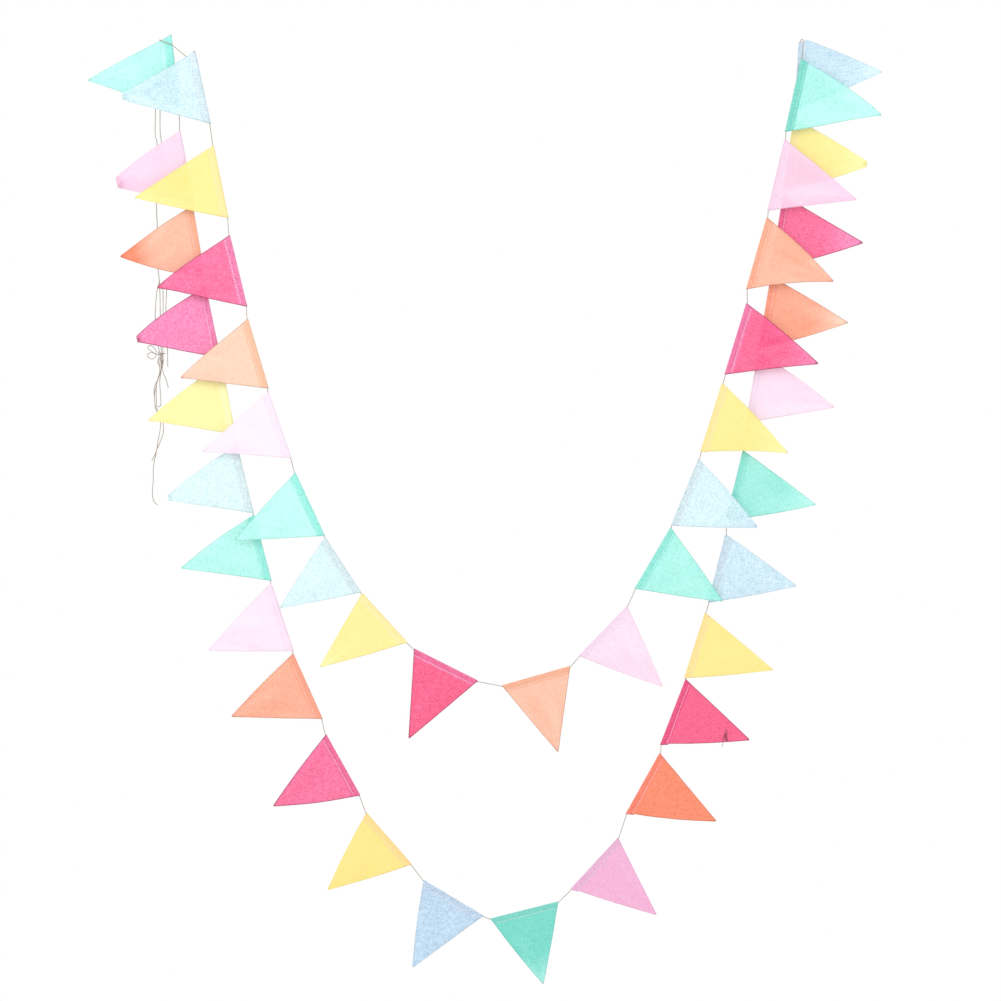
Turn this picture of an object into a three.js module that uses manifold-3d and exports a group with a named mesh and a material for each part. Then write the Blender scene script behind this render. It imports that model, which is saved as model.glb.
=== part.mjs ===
// Fabric bunting: 42 triangular cloth flags on one jute twine. The twine hangs from a left and a
// right point in two swags, one in front of the other, and its two loose ends hang from the left
// point behind the flags, gathered by a small tie.
//
// Millimetres. +X right, +Y away from the viewer, +Z up. The origin is the left hanging point.
import * as THREE from 'three';
import { mergeVertices } from 'three/addons/utils/BufferGeometryUtils.js';
import Module from 'manifold-3d';

const wasm = await Module();
wasm.setup();

// Twine
const TWINE_RADIUS = 1.0;
const TWINE_SIDES = 8;

// Cloth and hem, measured on the cross-section of a flag
const CLOTH = 1.0; // thickness of one layer
const TUNNEL_RADIUS = 1.4; // inside of the fold, round the twine
const FOLD_RADIUS = TUNNEL_RADIUS + CLOTH; // outside of the fold
const TUNNEL_END = 9.0; // where the two layers meet, below the twine
const SEAM = 9.5; // where the two layers lie flat on each other
const ALLOWANCE = 13.0; // raw edge of the turned-over layer
const STEP = 0.6; // short run under the raw edge
const TIP_HALF_WIDTH = 1.4;
const SWELL = 0.4; // how far the section swells forward between the fold and the tip
const FLAG_SPANS = 3; // spans along the hem
const SHEET_STOPS = [0.35, 0.65, 0.85]; // rings down the sheet, as shares of its length
const ROLL_STOPS = 5; // rings round a rolled tip

// Colours of the cloths
const CLOTH_COLOURS = {
  mint: 0x8fe6d2,
  lavender: 0xf3c6e4,
  peach: 0xffa684,
  pink: 0xff6f9f,
  yellow: 0xffef94,
  blue: 0xcbe4f6,
};
const TWINE_COLOUR = 0x97897b;

// The flags of a swag, from left to right, walked along the twine. Each row:
//   cloth    its colour
//   space    twine between the last flag and this one
//   heading  direction of that space, in degrees above +X
//   slope    direction of the hem, in degrees above +X
//   hem      length of the hem
//   length   cloth from the twine to the tip, laid flat
//   lean     how far the tip is off the middle of the hem, along the twine
//   hook     how much of the lean comes in the last part of the flag
//   firstBow, lastBow   how far the side from that end of the hem bows outward
//   bow      how far the middle of the flag stands forward
//   tilt     how far the tip stands forward
//   roll     cloth rolled up at the tip, forward if positive
const COLUMNS = [
  'cloth', 'space', 'heading', 'slope', 'hem', 'length', 'lean', 'hook', 'firstBow', 'lastBow', 'bow', 'tilt', 'roll',
];

const OUTER_SWAG = {
  name: 'outer',
  start: [-1.5, 16],
  depth: 8,
  rows: [
    ['mint', 0, 0, -84, 138, 168, 0, 4, 0, 5, 1.5, 2, 0],
    ['lavender', 46, -89, -80.5, 140, 156, 10, 4, 4, 2, 2, 1, 26],
    ['peach', 6, -105, -81, 140, 154, 5, -2, 4, 5, 1, 2, 0],
    ['pink', 19, -86, -79, 140, 161, 6, 8, 3, 4, 2, 1, 14],
    ['yellow', 14, -76, -80, 140, 161, 13, 2, 3.5, 0.5, 1, 2, 0],
    ['blue', 22, -81, -77, 138, 165, 3, 2, 3, 0, 2, 1, 14],
    ['mint', 4, -75, -76, 135, 165, 0, 0, 4, -0.5, 1, 2, 0],
    ['lavender', 5, -92, -72.5, 143, 158, 19, 0, 2, 1, 2, 1, 0],
    ['peach', 6, -96, -66.5, 143, 162, -5, 0, 2, 0.5, 1, 2, 0],
    ['pink', 34, -77, -61.5, 140, 161, 6, 0, 2.5, 4, 2, 1, 0],
    ['yellow', 39, -70, -49.5, 138, 160, -1, 0, 2.5, 2, 1, 1, 0],
    ['blue', 42, -53, -31.5, 140, 163, 4, 0, 2.5, 0, 1.5, 1, 0],
    ['mint', 18, -21, 14.5, 140, 155, -1, 0, 2, 1, 1, 0, 0],
    ['lavender', 38, 45, 48, 141, 161, 6, 0, 1.5, 0, 1.5, 1, 0],
    ['peach', 53, 72, 61.5, 140, 164, 3, 0, 3.5, 0, 1, 1, 0],
    ['pink', 18, 86, 69.5, 141, 161, 1, 0, 2.5, 0.5, 2, 1, 0],
    ['yellow', 4, 126, 73, 137, 161, -1, 0, 2, 0.5, 1, 2, 0],
    ['blue', 22, 74, 76.5, 140, 160, 3, 0, 2, 1, 2, 1, 0],
    ['mint', 28, 88, 77, 142, 163, -1, 0, 2.5, 1, 1, 2, 0],
    ['lavender', 56, 84, 81, 140, 164, -13, 0, 0.5, 3.5, 2, 1, 0],
    ['peach', 7, 82, 81, 142, 162, 6, 0, 3, 1.5, 1, 2, 0],
    ['pink', 17, 90, 81, 142, 167, 5, 0, 4, 0, 2, 1, 0],
    ['yellow', 11, 84, 83, 139, 160, -1, 0, 4, 2, 1, 2, 12],
    ['blue', 14, 84, 87, 130, 163, 18, 0, 0, 2, 1, 1, 0],
  ],
};

const INNER_SWAG = {
  name: 'inner',
  start: [47.5, -18.5],
  depth: -8,
  rows: [
    ['blue', 0, 0, -78.5, 139, 167, -14, 3, -2, 1, 1.5, 1, 18],
    ['yellow', 43, -83, -79, 141, 168, -2, 0, 0.5, 1, 1, 2, 0],
    ['pink', 34, -86, -77, 141, 160, -4, 10, -1, 3.5, 2, 1, 0],
    ['peach', 25, -86, -74, 140, 157, 3, 5, 0, 2, 1, 2, 0],
    ['lavender', 7, -90, -71.5, 137, 159, 1, 0, 0, -1, 2, 1, 0],
    ['mint', 31, -75, -65.5, 136, 162, 3, 0, 2, 0.5, 1, 1, 0],
    ['blue', 4, -69, -57.5, 129, 149, 5, 0, 2, 1, 1.5, 1, 0],
    ['yellow', 4, -38, -48, 132, 159, -13, 0, 0.5, 1.5, 1, 1, 0],
    ['pink', 20, -43, -27, 141, 163, 1, 0, 0, 0.5, 1.5, 1, 0],
    ['peach', 51, -11, 16, 140, 157, 0, 0, 0.5, 0, 1, 0, 0],
    ['lavender', 29, 49, 46.5, 137, 160, 1, 0, 2, 1, 1.5, 1, 0],
    ['mint', 39, 66, 60, 139, 161, -5, 0, 1.5, 1, 1, 1, 0],
    ['blue', 5, 77, 68, 141, 157, -10, 0, 1.5, 3, 2, 1, 0],
    ['yellow', 15, 75, 73, 141, 162, -22, 0, -4, 3, 1, 2, 0],
    ['pink', 18, 74, 73.5, 144, 167, 0, 0, -1.5, 3, 2, 1, 0],
    ['peach', 28, 91, 74.5, 143, 157, -12, 0, -5, 5, 1, 2, 0],
    ['lavender', 14, 85, 77, 140, 161, -11, 0, -1, 1, 2, 1, 0],
    ['mint', 15, 87, 78, 141, 173, -1, -8, 3, 2, 1.5, 1, 0],
  ],
};

// The flags whose first side starts a little inside the end of the hem, and by how much
const INSETS = { outer_14_lavender: 2.5, outer_15_peach: 2, outer_16_pink: 2.5 };

// The flag whose cloth fans out past the bunched end of its hem, at the right point
const FANNED = { name: 'outer_24_blue', past: 11, drop: 14 };

// The twine at the left point, from the knot up and over into the first hem of the outer swag
const LEFT_TURN = [
  [-2.0, 14.4, 3.0],
  [-2.0, 14.4, 9.0],
  [-1.9, 13.6, 14.8],
  [-1.7, 11.2, 17.8],
  [-1.5, 8.4, 17.6],
];

// The twine at the right point, from the last hem of the outer swag to that of the inner swag
const RIGHT_TURN = [
  [1219.4, 7.4, 4.0],
  [1220.6, 4.4, 6.6],
  [1221.8, 0.0, 7.2],
  [1222.4, -4.6, 6.0],
  [1222.5, -7.6, 1.0],
  [1222.1, -8.0, -10.0],
];

// The twine from the first hem of the inner swag back to the knot
const KNOT_RETURN = [
  [47.2, -7.5, -16.8],
  [46.4, -5.4, -16.0],
  [45.0, -3.8, -18.0],
  [41.8, -3.6, -22.6],
  [38.4, -3.6, -27.2],
  [36.2, -3.6, -29.4],
  [33.6, -3.5, -28.6],
  [18.0, -0.4, -16.2],
  [7.0, 1.4, -6.6],
  [1.0, 2.4, -1.8],
  [-8.0, 3.2, 1.2],
  [-18.4, 4.8, 5.0],
  [-21.6, 5.8, 7.2],
  [-22.6, 7.6, 8.0],
  [-22.0, 9.8, 6.6],
  [-19.0, 11.2, 4.2],
  [-13.0, 11.8, 0.8],
  [-8.0, 12.4, -2.4],
  [-4.0, 13.4, -2.6],
  [0.0, 14.4, -2.0],
];

// The knot at the left point, a lump behind the flags: centre and half sizes
const KNOT = { centre: [-2.0, 14.4, -1.0], half: [5.0, 3.2, 9.0] };

// The loose ends of the twine and the tie round them, each as the points its middle goes through
const TAIL_LONG = [
  [-7.6, 14.4, 0.0], [-12.0, 14.2, 1.5], [-17.0, 14.0, 0.0], [-22.0, 13.8, -6.0],
  [-27.0, 13.7, -20.0], [-31.0, 13.8, -50.0], [-34.0, 13.8, -129.0], [-35.0, 13.8, -173.0],
  [-32.0, 13.8, -189.0], [-35.0, 13.8, -222.0], [-35.0, 13.6, -305.0], [-34.0, 13.6, -349.0],
  [-34.0, 13.6, -431.0], [-32.0, 13.6, -456.0], [-37.0, 13.6, -478.0], [-41.0, 13.8, -529.0],
  [-39.0, 14.0, -562.0], [-35.0, 14.2, -588.0], [-32.5, 14.2, -600.0], [-31.5, 13.8, -612.0],
  [-31.0, 13.6, -627.0], [-35.0, 13.6, -643.0], [-45.0, 13.6, -666.0], [-45.0, 13.6, -686.0],
  [-43.0, 13.8, -706.0], [-34.0, 14.0, -735.0], [-35.0, 14.0, -749.0], [-39.0, 14.0, -769.0],
  [-42.0, 14.0, -787.0], [-46.0, 14.0, -805.0], [-49.0, 13.8, -820.0], [-50.0, 13.6, -848.0],
  [-52.0, 13.4, -878.0], [-49.0, 13.4, -891.0], [-42.0, 13.2, -898.0],
];

const TAIL_LOOPED = [
  [-6.9, 14.4, 4.5], [-10.5, 14.9, 7.2], [-15.6, 15.8, 8.8], [-19.6, 16.8, 5.6],
  [-22.0, 17.5, -4.0], [-23.0, 17.6, -50.0], [-26.0, 18.0, -129.0], [-26.0, 18.0, -173.0],
  [-24.0, 18.0, -189.0], [-28.0, 18.2, -240.0], [-35.6, 18.4, -300.0], [-35.0, 18.4, -357.0],
  [-34.8, 18.6, -431.0], [-32.7, 18.8, -456.0], [-32.0, 18.8, -478.0],
  [-32.0, 19.0, -529.0], [-32.0, 19.0, -582.0], [-30.5, 18.8, -600.0],
  [-32.0, 19.2, -631.0], [-35.0, 19.2, -652.0], [-34.0, 19.2, -680.0], [-33.4, 18.9, -692.0],
  [-33.6, 18.7, -698.6], [-35.1, 18.3, -702.0], [-37.8, 17.9, -703.4], [-40.5, 17.5, -702.0],
  [-41.9, 17.2, -698.6], [-42.0, 16.9, -688.0], [-42.0, 16.6, -670.0], [-39.0, 16.4, -650.0],
  [-34.0, 16.4, -635.0], [-27.6, 16.4, -619.0], [-27.3, 16.0, -600.0], [-27.0, 16.0, -562.0],
  [-26.0, 15.4, -529.0], [-25.0, 15.0, -484.0], [-25.1, 14.7, -464.6], [-24.1, 14.6, -462.0],
  [-21.6, 14.6, -460.8], [-19.1, 14.6, -462.0], [-18.1, 14.6, -464.6], [-18.6, 14.6, -484.0],
  [-20.0, 14.6, -515.0], [-18.0, 14.6, -582.0], [-18.0, 14.6, -625.0],
];

// The tie first winds round the loose ends: centre, half sizes, angles and heights of that winding
const WINDING = { x: -30.0, y: 16.3, halfX: 6.6, halfY: 5.6, from: 60, to: 480, bottom: -600.6, top: -597.6 };
const WINDING_STEP = 30; // degrees

const TIE_AFTER_WINDING = [
  [-39.0, 10.4, -593.5], [-44.0, 9.8, -586.5], [-49.4, 9.5, -582.6], [-53.0, 9.6, -583.0],
  [-55.4, 9.8, -585.8], [-54.8, 10.2, -589.4], [-51.4, 10.6, -592.0], [-44.5, 11.2, -597.0],
  [-39.8, 11.2, -602.0], [-42.5, 10.6, -606.8], [-48.5, 10.0, -609.0], [-54.5, 9.6, -606.0],
  [-56.5, 9.0, -601.0], [-51.0, 8.4, -597.0], [-43.0, 8.0, -597.3], [-37.0, 7.8, -599.4],
  [-33.4, 7.7, -604.0], [-36.0, 7.8, -612.0], [-35.9, 8.0, -617.4], [-34.3, 8.2, -620.6],
  [-31.6, 8.4, -621.6], [-29.0, 8.7, -620.0], [-27.6, 9.0, -616.4], [-27.6, 9.6, -612.0],
  [-28.8, 10.2, -608.8], [-31.4, 10.8, -607.6], [-33.8, 11.1, -609.4], [-34.6, 11.2, -613.0],
  [-33.8, 11.2, -620.0], [-33.0, 11.0, -630.0], [-34.4, 11.0, -640.0],
  [-40.0, 11.0, -660.0], [-44.0, 11.0, -678.0], [-43.0, 11.0, -700.0], [-34.0, 11.2, -719.0],
  [-28.0, 11.4, -739.0], [-28.0, 11.4, -753.0], [-34.0, 11.2, -771.0], [-41.0, 11.0, -787.0],
  [-46.0, 11.0, -799.0], [-52.0, 11.0, -811.0],
];

const TIE_SHORT = [
  [-27.6, 11.2, -601.9], [-26.6, 12.4, -611.0], [-28.0, 12.8, -622.0], [-27.0, 12.8, -635.0],
  [-21.0, 12.8, -650.0], [-17.0, 12.6, -666.0],
];

const toRadians = THREE.MathUtils.degToRad;

// A direction in the X-Z plane, from its angle above +X
function direction(degrees) {
  const angle = toRadians(degrees);
  return new THREE.Vector3(Math.cos(angle), 0, Math.sin(angle));
}

// Walk along the twine and place every flag of a swag: its first and last hem points
function placeFlags(swag) {
  const point = new THREE.Vector3(swag.start[0], swag.depth, swag.start[1]);
  return swag.rows.map((row, index) => {
    const flag = Object.fromEntries(COLUMNS.map((column, place) => [column, row[place]]));
    flag.name = `${swag.name}_${String(index + 1).padStart(2, '0')}_${flag.cloth}`;
    point.addScaledVector(direction(flag.heading), flag.space);
    flag.first = point.clone();
    point.addScaledVector(direction(flag.slope), flag.hem);
    flag.last = point.clone();
    return flag;
  });
}

// Where the rings of the sheet lie, from the raw edge down to the tip
function sheetStops(flag) {
  const flat = flag.length - Math.abs(flag.roll);
  const stops = SHEET_STOPS.map((share) => share * flag.length).filter((stop) => stop < flat - 3);
  if (flag.roll !== 0) {
    for (let ring = 0; ring < ROLL_STOPS; ring += 1) {
      stops.push(flat + (Math.abs(flag.roll) * ring) / ROLL_STOPS);
    }
  }
  stops.push(flag.length);
  return stops;
}

// The cross-section of a flag, straight and flat: x forward of the twine, y down from it.
// The front layer runs to the tip, the turned-over layer ends at the raw edge.
function crossSection(flag) {
  const stops = sheetStops(flag);
  const at = (forward, drop) => {
    const share = drop / flag.length;
    return new THREE.Vector2(forward + SWELL * 4 * share * (1 - share), drop);
  };
  const points = [];
  [...stops].reverse().forEach((stop) => points.push(at(CLOTH, stop)));
  points.push(at(CLOTH, ALLOWANCE + STEP));
  points.push(at(CLOTH, ALLOWANCE));
  points.push(at(CLOTH, SEAM));
  for (let angle = 0; angle <= 180; angle += 45) {
    points.push(arcPoint(FOLD_RADIUS, angle));
  }
  points.push(at(-CLOTH, SEAM));
  points.push(at(-CLOTH, ALLOWANCE));
  points.push(at(0, ALLOWANCE));
  points.push(at(0, ALLOWANCE + STEP));
  stops.forEach((stop) => points.push(at(0, stop)));

  const tunnel = [];
  for (let angle = 0; angle <= 180; angle += 45) {
    tunnel.push(arcPoint(TUNNEL_RADIUS, angle));
  }
  tunnel.push(new THREE.Vector2(0, TUNNEL_END));

  const section = new THREE.Shape(points.reverse());
  section.holes.push(new THREE.Path(tunnel));
  return section;
}

// A point of the fold over the twine, with the angle counted from the front
function arcPoint(radius, degrees) {
  const angle = toRadians(degrees);
  return new THREE.Vector2(radius * Math.cos(angle), -radius * Math.sin(angle));
}

// A flag: the cross-section extruded along the hem, then narrowed to the tip, bowed, tilted and
// rolled at its tip, and set along its stretch of twine
function flagGeometry(flag) {
  const geometry = new THREE.ExtrudeGeometry(crossSection(flag), {
    depth: 1,
    steps: FLAG_SPANS,
    bevelEnabled: false,
  });
  const along = direction(flag.slope);
  const down = direction(flag.slope - 90);
  const inset = INSETS[flag.name] ?? 0;
  const flat = flag.length - Math.abs(flag.roll);
  const rollRadius = Math.abs(flag.roll) / toRadians(210);
  const rollSign = Math.sign(flag.roll);
  const position = geometry.getAttribute('position');
  const vertex = new THREE.Vector3();
  for (let index = 0; index < position.count; index += 1) {
    vertex.fromBufferAttribute(position, index);
    const share = THREE.MathUtils.clamp(vertex.y / flag.length, 0, 1);
    const halfWidth = THREE.MathUtils.lerp(flag.hem / 2, TIP_HALF_WIDTH, share);
    const middle = flag.hem / 2 + (flag.lean - flag.hook) * share + flag.hook * share ** 4;
    const fan = flag.name === FANNED.name ? FANNED.past * vertex.z * (1 - share) : 0;
    const fanned = fan * THREE.MathUtils.clamp(vertex.y / FANNED.drop, 0, 1);
    const sideBow = (flag.lastBow * vertex.z - flag.firstBow * (1 - vertex.z)) * Math.sin(Math.PI * share);
    const cutIn = vertex.y > ALLOWANCE + STEP / 2 ? inset * (1 - vertex.z) * (1 - share) : 0;
    const across = middle + halfWidth * (2 * vertex.z - 1) + fanned + sideBow + cutIn;
    const belly = flag.bow * 4 * vertex.z * (1 - vertex.z) * Math.sin(Math.PI * share);
    let forward = vertex.x;
    let drop = vertex.y;
    if (vertex.y > flat && flag.roll !== 0) {
      const turn = (vertex.y - flat) / rollRadius;
      const middleOffset = vertex.x - CLOTH / 2;
      const reach = rollRadius - rollSign * middleOffset;
      drop = flat + reach * Math.sin(turn);
      forward = CLOTH / 2 + rollSign * (rollRadius - reach * Math.cos(turn));
    }
    forward += belly + flag.tilt * share * share;
    vertex.copy(flag.first).addScaledVector(along, across).addScaledVector(down, drop);
    vertex.y -= forward;
    position.setXYZ(index, vertex.x, vertex.y, vertex.z);
  }
  return welded(geometry);
}

// Shared vertices and fresh normals
function welded(geometry) {
  geometry.deleteAttribute('normal');
  geometry.deleteAttribute('uv');
  const merged = mergeVertices(geometry, 1e-4);
  merged.computeVertexNormals();
  return merged;
}

// A curve of straight runs that passes exactly through its points
class Route extends THREE.Curve {
  constructor(points) {
    super();
    this.points = points;
  }

  getPoint(t, target = new THREE.Vector3()) {
    const place = t * (this.points.length - 1);
    const index = Math.min(Math.floor(place + 1e-6), this.points.length - 2);
    return target.lerpVectors(this.points[index], this.points[index + 1], place - index);
  }

  getPointAt(u, target) {
    return this.getPoint(u, target);
  }

  getTangent(t, target = new THREE.Vector3()) {
    const index = Math.round(t * (this.points.length - 1));
    const before = this.points[Math.max(index - 1, 0)];
    const here = this.points[index];
    const after = this.points[Math.min(index + 1, this.points.length - 1)];
    const arriving = new THREE.Vector3().subVectors(here, before).normalize();
    const leaving = new THREE.Vector3().subVectors(after, here).normalize();
    return target.addVectors(arriving, leaving).normalize();
  }

  getTangentAt(u, target) {
    return this.getTangent(u, target);
  }
}

// A round tube of twine along a curve
function twineTube(curve, steps) {
  const circle = new THREE.Shape();
  for (let side = 0; side < TWINE_SIDES; side += 1) {
    const angle = (2 * Math.PI * side) / TWINE_SIDES;
    const corner = [TWINE_RADIUS * Math.cos(angle), TWINE_RADIUS * Math.sin(angle)];
    if (side === 0) circle.moveTo(...corner);
    else circle.lineTo(...corner);
  }
  circle.closePath();
  return welded(new THREE.ExtrudeGeometry(circle, { steps, extrudePath: curve, bevelEnabled: false }));
}

function toPoints(table) {
  return table.map((row) => new THREE.Vector3(...row));
}

// The stretch of twine through a swag: straight inside each hem and a little past its mouths
function hemPoints(flags) {
  const past = 0.5;
  return flags.flatMap((flag) => {
    const along = direction(flag.slope);
    return [
      flag.first.clone().addScaledVector(along, -past),
      flag.last.clone().addScaledVector(along, past),
    ];
  });
}

function toManifold(geometry) {
  return new wasm.Manifold(
    new wasm.Mesh({
      numProp: 3,
      vertProperties: geometry.getAttribute('position').array,
      triVerts: new Uint32Array(geometry.getIndex().array),
    }),
  );
}

function fromManifold(solid) {
  const mesh = solid.getMesh();
  const geometry = new THREE.BufferGeometry();
  geometry.setAttribute('position', new THREE.BufferAttribute(mesh.vertProperties, mesh.numProp));
  geometry.setIndex(new THREE.BufferAttribute(mesh.triVerts, 1));
  geometry.computeVertexNormals();
  return geometry;
}

// The main twine: knot, outer swag, right turn, inner swag back to the knot, joined at the knot
function mainTwine(outerFlags, innerFlags) {
  const route = new Route([
    ...toPoints(LEFT_TURN),
    ...hemPoints(outerFlags),
    ...toPoints(RIGHT_TURN),
    ...hemPoints(innerFlags).reverse(),
    ...toPoints(KNOT_RETURN),
  ]);
  const tube = twineTube(route, route.points.length - 1);
  const lump = new THREE.SphereGeometry(1, 12, 8);
  lump.scale(...KNOT.half);
  lump.translate(...KNOT.centre);
  return fromManifold(toManifold(tube).add(toManifold(welded(lump))));
}

// A loose cord along a smooth curve
function looseCord(points, steps) {
  return twineTube(new THREE.CatmullRomCurve3(points, false, 'centripetal'), steps);
}

// The winding of the tie round the loose ends, rising as it goes round
function windingPoints() {
  const points = [];
  for (let degrees = WINDING.from; degrees <= WINDING.to; degrees += WINDING_STEP) {
    const share = (degrees - WINDING.from) / (WINDING.to - WINDING.from);
    const angle = toRadians(degrees);
    points.push(
      new THREE.Vector3(
        WINDING.x + WINDING.halfX * Math.cos(angle),
        WINDING.y - WINDING.halfY * Math.sin(angle),
        THREE.MathUtils.lerp(WINDING.bottom, WINDING.top, share),
      ),
    );
  }
  return points;
}

const group = new THREE.Group();

function addPiece(name, geometry, colour, roughness) {
  const material = new THREE.MeshStandardMaterial({ color: colour, roughness, metalness: 0 });
  const mesh = new THREE.Mesh(geometry, material);
  mesh.name = name;
  group.add(mesh);
}

const outerFlags = placeFlags(OUTER_SWAG);
const innerFlags = placeFlags(INNER_SWAG);
[...outerFlags, ...innerFlags].forEach((flag) => {
  addPiece(flag.name, flagGeometry(flag), CLOTH_COLOURS[flag.cloth], 0.9);
});
addPiece('twine', mainTwine(outerFlags, innerFlags), TWINE_COLOUR, 0.95);
addPiece('tail_long', looseCord(toPoints(TAIL_LONG), 78), TWINE_COLOUR, 0.95);
addPiece('tail_looped', looseCord(toPoints(TAIL_LOOPED), 96), TWINE_COLOUR, 0.95);
addPiece('tie_long', looseCord([...windingPoints(), ...toPoints(TIE_AFTER_WINDING)], 84), TWINE_COLOUR, 0.95);
addPiece('tie_short', looseCord(toPoints(TIE_SHORT), 14), TWINE_COLOUR, 0.95);

export default group;
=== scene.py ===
"""Fabric bunting: triangular cloth flags on a jute twine, hung in two swags from two points."""

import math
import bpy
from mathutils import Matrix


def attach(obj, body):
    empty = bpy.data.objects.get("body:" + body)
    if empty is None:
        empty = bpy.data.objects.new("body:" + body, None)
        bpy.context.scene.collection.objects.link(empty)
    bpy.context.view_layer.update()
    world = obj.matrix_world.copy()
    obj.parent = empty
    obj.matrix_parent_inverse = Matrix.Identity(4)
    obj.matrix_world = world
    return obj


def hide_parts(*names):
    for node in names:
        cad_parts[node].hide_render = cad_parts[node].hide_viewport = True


bl_info = {
    "name": "Fabric bunting",
    "version": (1, 0, 0),
    "blender": (4, 5, 0),
    "location": "View3D > Sidebar > Bunting",
    "description": "Builds a hung string of hemmed cloth flags, its twine, knots and stitching",
    "category": "Object",
}

import bpy
import numpy as np
from bpy.props import FloatProperty, FloatVectorProperty, IntProperty, PointerProperty
from bpy.types import Operator, Panel, PropertyGroup

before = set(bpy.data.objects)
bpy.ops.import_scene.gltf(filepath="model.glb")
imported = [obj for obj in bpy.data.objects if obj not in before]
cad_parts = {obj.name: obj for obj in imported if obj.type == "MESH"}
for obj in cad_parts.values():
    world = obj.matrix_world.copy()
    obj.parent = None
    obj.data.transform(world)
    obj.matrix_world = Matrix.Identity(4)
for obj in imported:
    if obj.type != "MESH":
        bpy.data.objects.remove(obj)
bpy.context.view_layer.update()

MM = 0.001  # lengths are worked out in millimetres and go into the meshes in metres

# Cross-section of a flag, from the middle of the twine
SEAM = 9.5  # where the two layers of the hem lie flat on each other
ALLOWANCE = 13.0  # raw edge of the turned-over layer
STEP = 0.6  # short run under the raw edge
FOLD_RADIUS = 2.1  # middle of the cloth where it turns over the twine
LAYER_OFFSET = 0.42  # from the middle of the hem to the middle of each layer
FRONT = 0.5  # how far the single cloth below the hem stands in front
HEM_ROWS = (ALLOWANCE, 11.6, 10.6, 9.5, 7.5, 5.5, 3.5, 1.6, 0.0)  # rows of points down each layer

# The body of a flag
TIP_HALF_WIDTH = 1.4
SWELL = 0.4  # how far the whole cloth stands forward half way down
ROLL_TURN = 210.0  # degrees that a rolled tip turns through
BODY_ROW = 4.6  # distance between rows of points
ROLL_ROW = 1.8  # the same where the cloth is rolled
CREASES = ((0.7, 1.2), (0.45, 2.6), (0.2, 5.2))  # height of each soft crease, and its waves

# The row of stitches along a hem, as each stitch's rings of points from end to end
STITCH_SIDES = 5
STITCH_RUN = (-0.5, -0.34, 0.0, 0.34, 0.5)  # along the stitch, as a share of its length
STITCH_GIRTH = (0.03, 0.24, 0.31, 0.24, 0.03)  # radius
STITCH_RISE = (-0.2, 0.02, 0.1, 0.02, -0.2)  # middle above the cloth's face
STITCH_SHARE = 0.78  # length of a stitch, as a share of the distance to the next
BARE_END = 3.0  # hem without stitches at each end

# The twine
TWINE_SIDES = 9
ROUTE_STEP = 1.2  # distance between its rings of points
TURN_STEP = 0.8  # the same at the two hanging points
HEM_MOUTH = 0.5  # how far past the ends of a hem it stays straight
PLY_SWELL = 0.12  # how far its radius swells and shrinks at the plies, as a share of it
SLUB = 0.06  # usual share by which it grows thicker or thinner
MOST_SLUB = 0.1
CUT_END = 0.75  # radius of its ends, as a share of the rest

# What is added to a flag's seed for the waves of its seam and of its cut sides
SEAM_SEED = 900
SIDE_SEED = 500

# The flags of a swag, from left to right, from where its twine starts in X and Z at one depth. seed:
# what its flags' seeded shapes count from. cloth: dye. space, heading: twine before the flag and its
# direction in degrees above +X. slope, hem: direction and length of the hem. length: cloth from the
# twine to the tip. lean: the tip's offset along the twine. hook: how much of the lean comes late.
# first_bow, last_bow: how far the sides bow outward. bow, tilt: how far the middle and the tip stand
# forward. roll: cloth rolled up at the tip. fade: painted light that pales the cloth, from 0 to 1.
COLUMNS = "cloth space heading slope hem length lean hook first_bow last_bow bow tilt roll fade".split()

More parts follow.
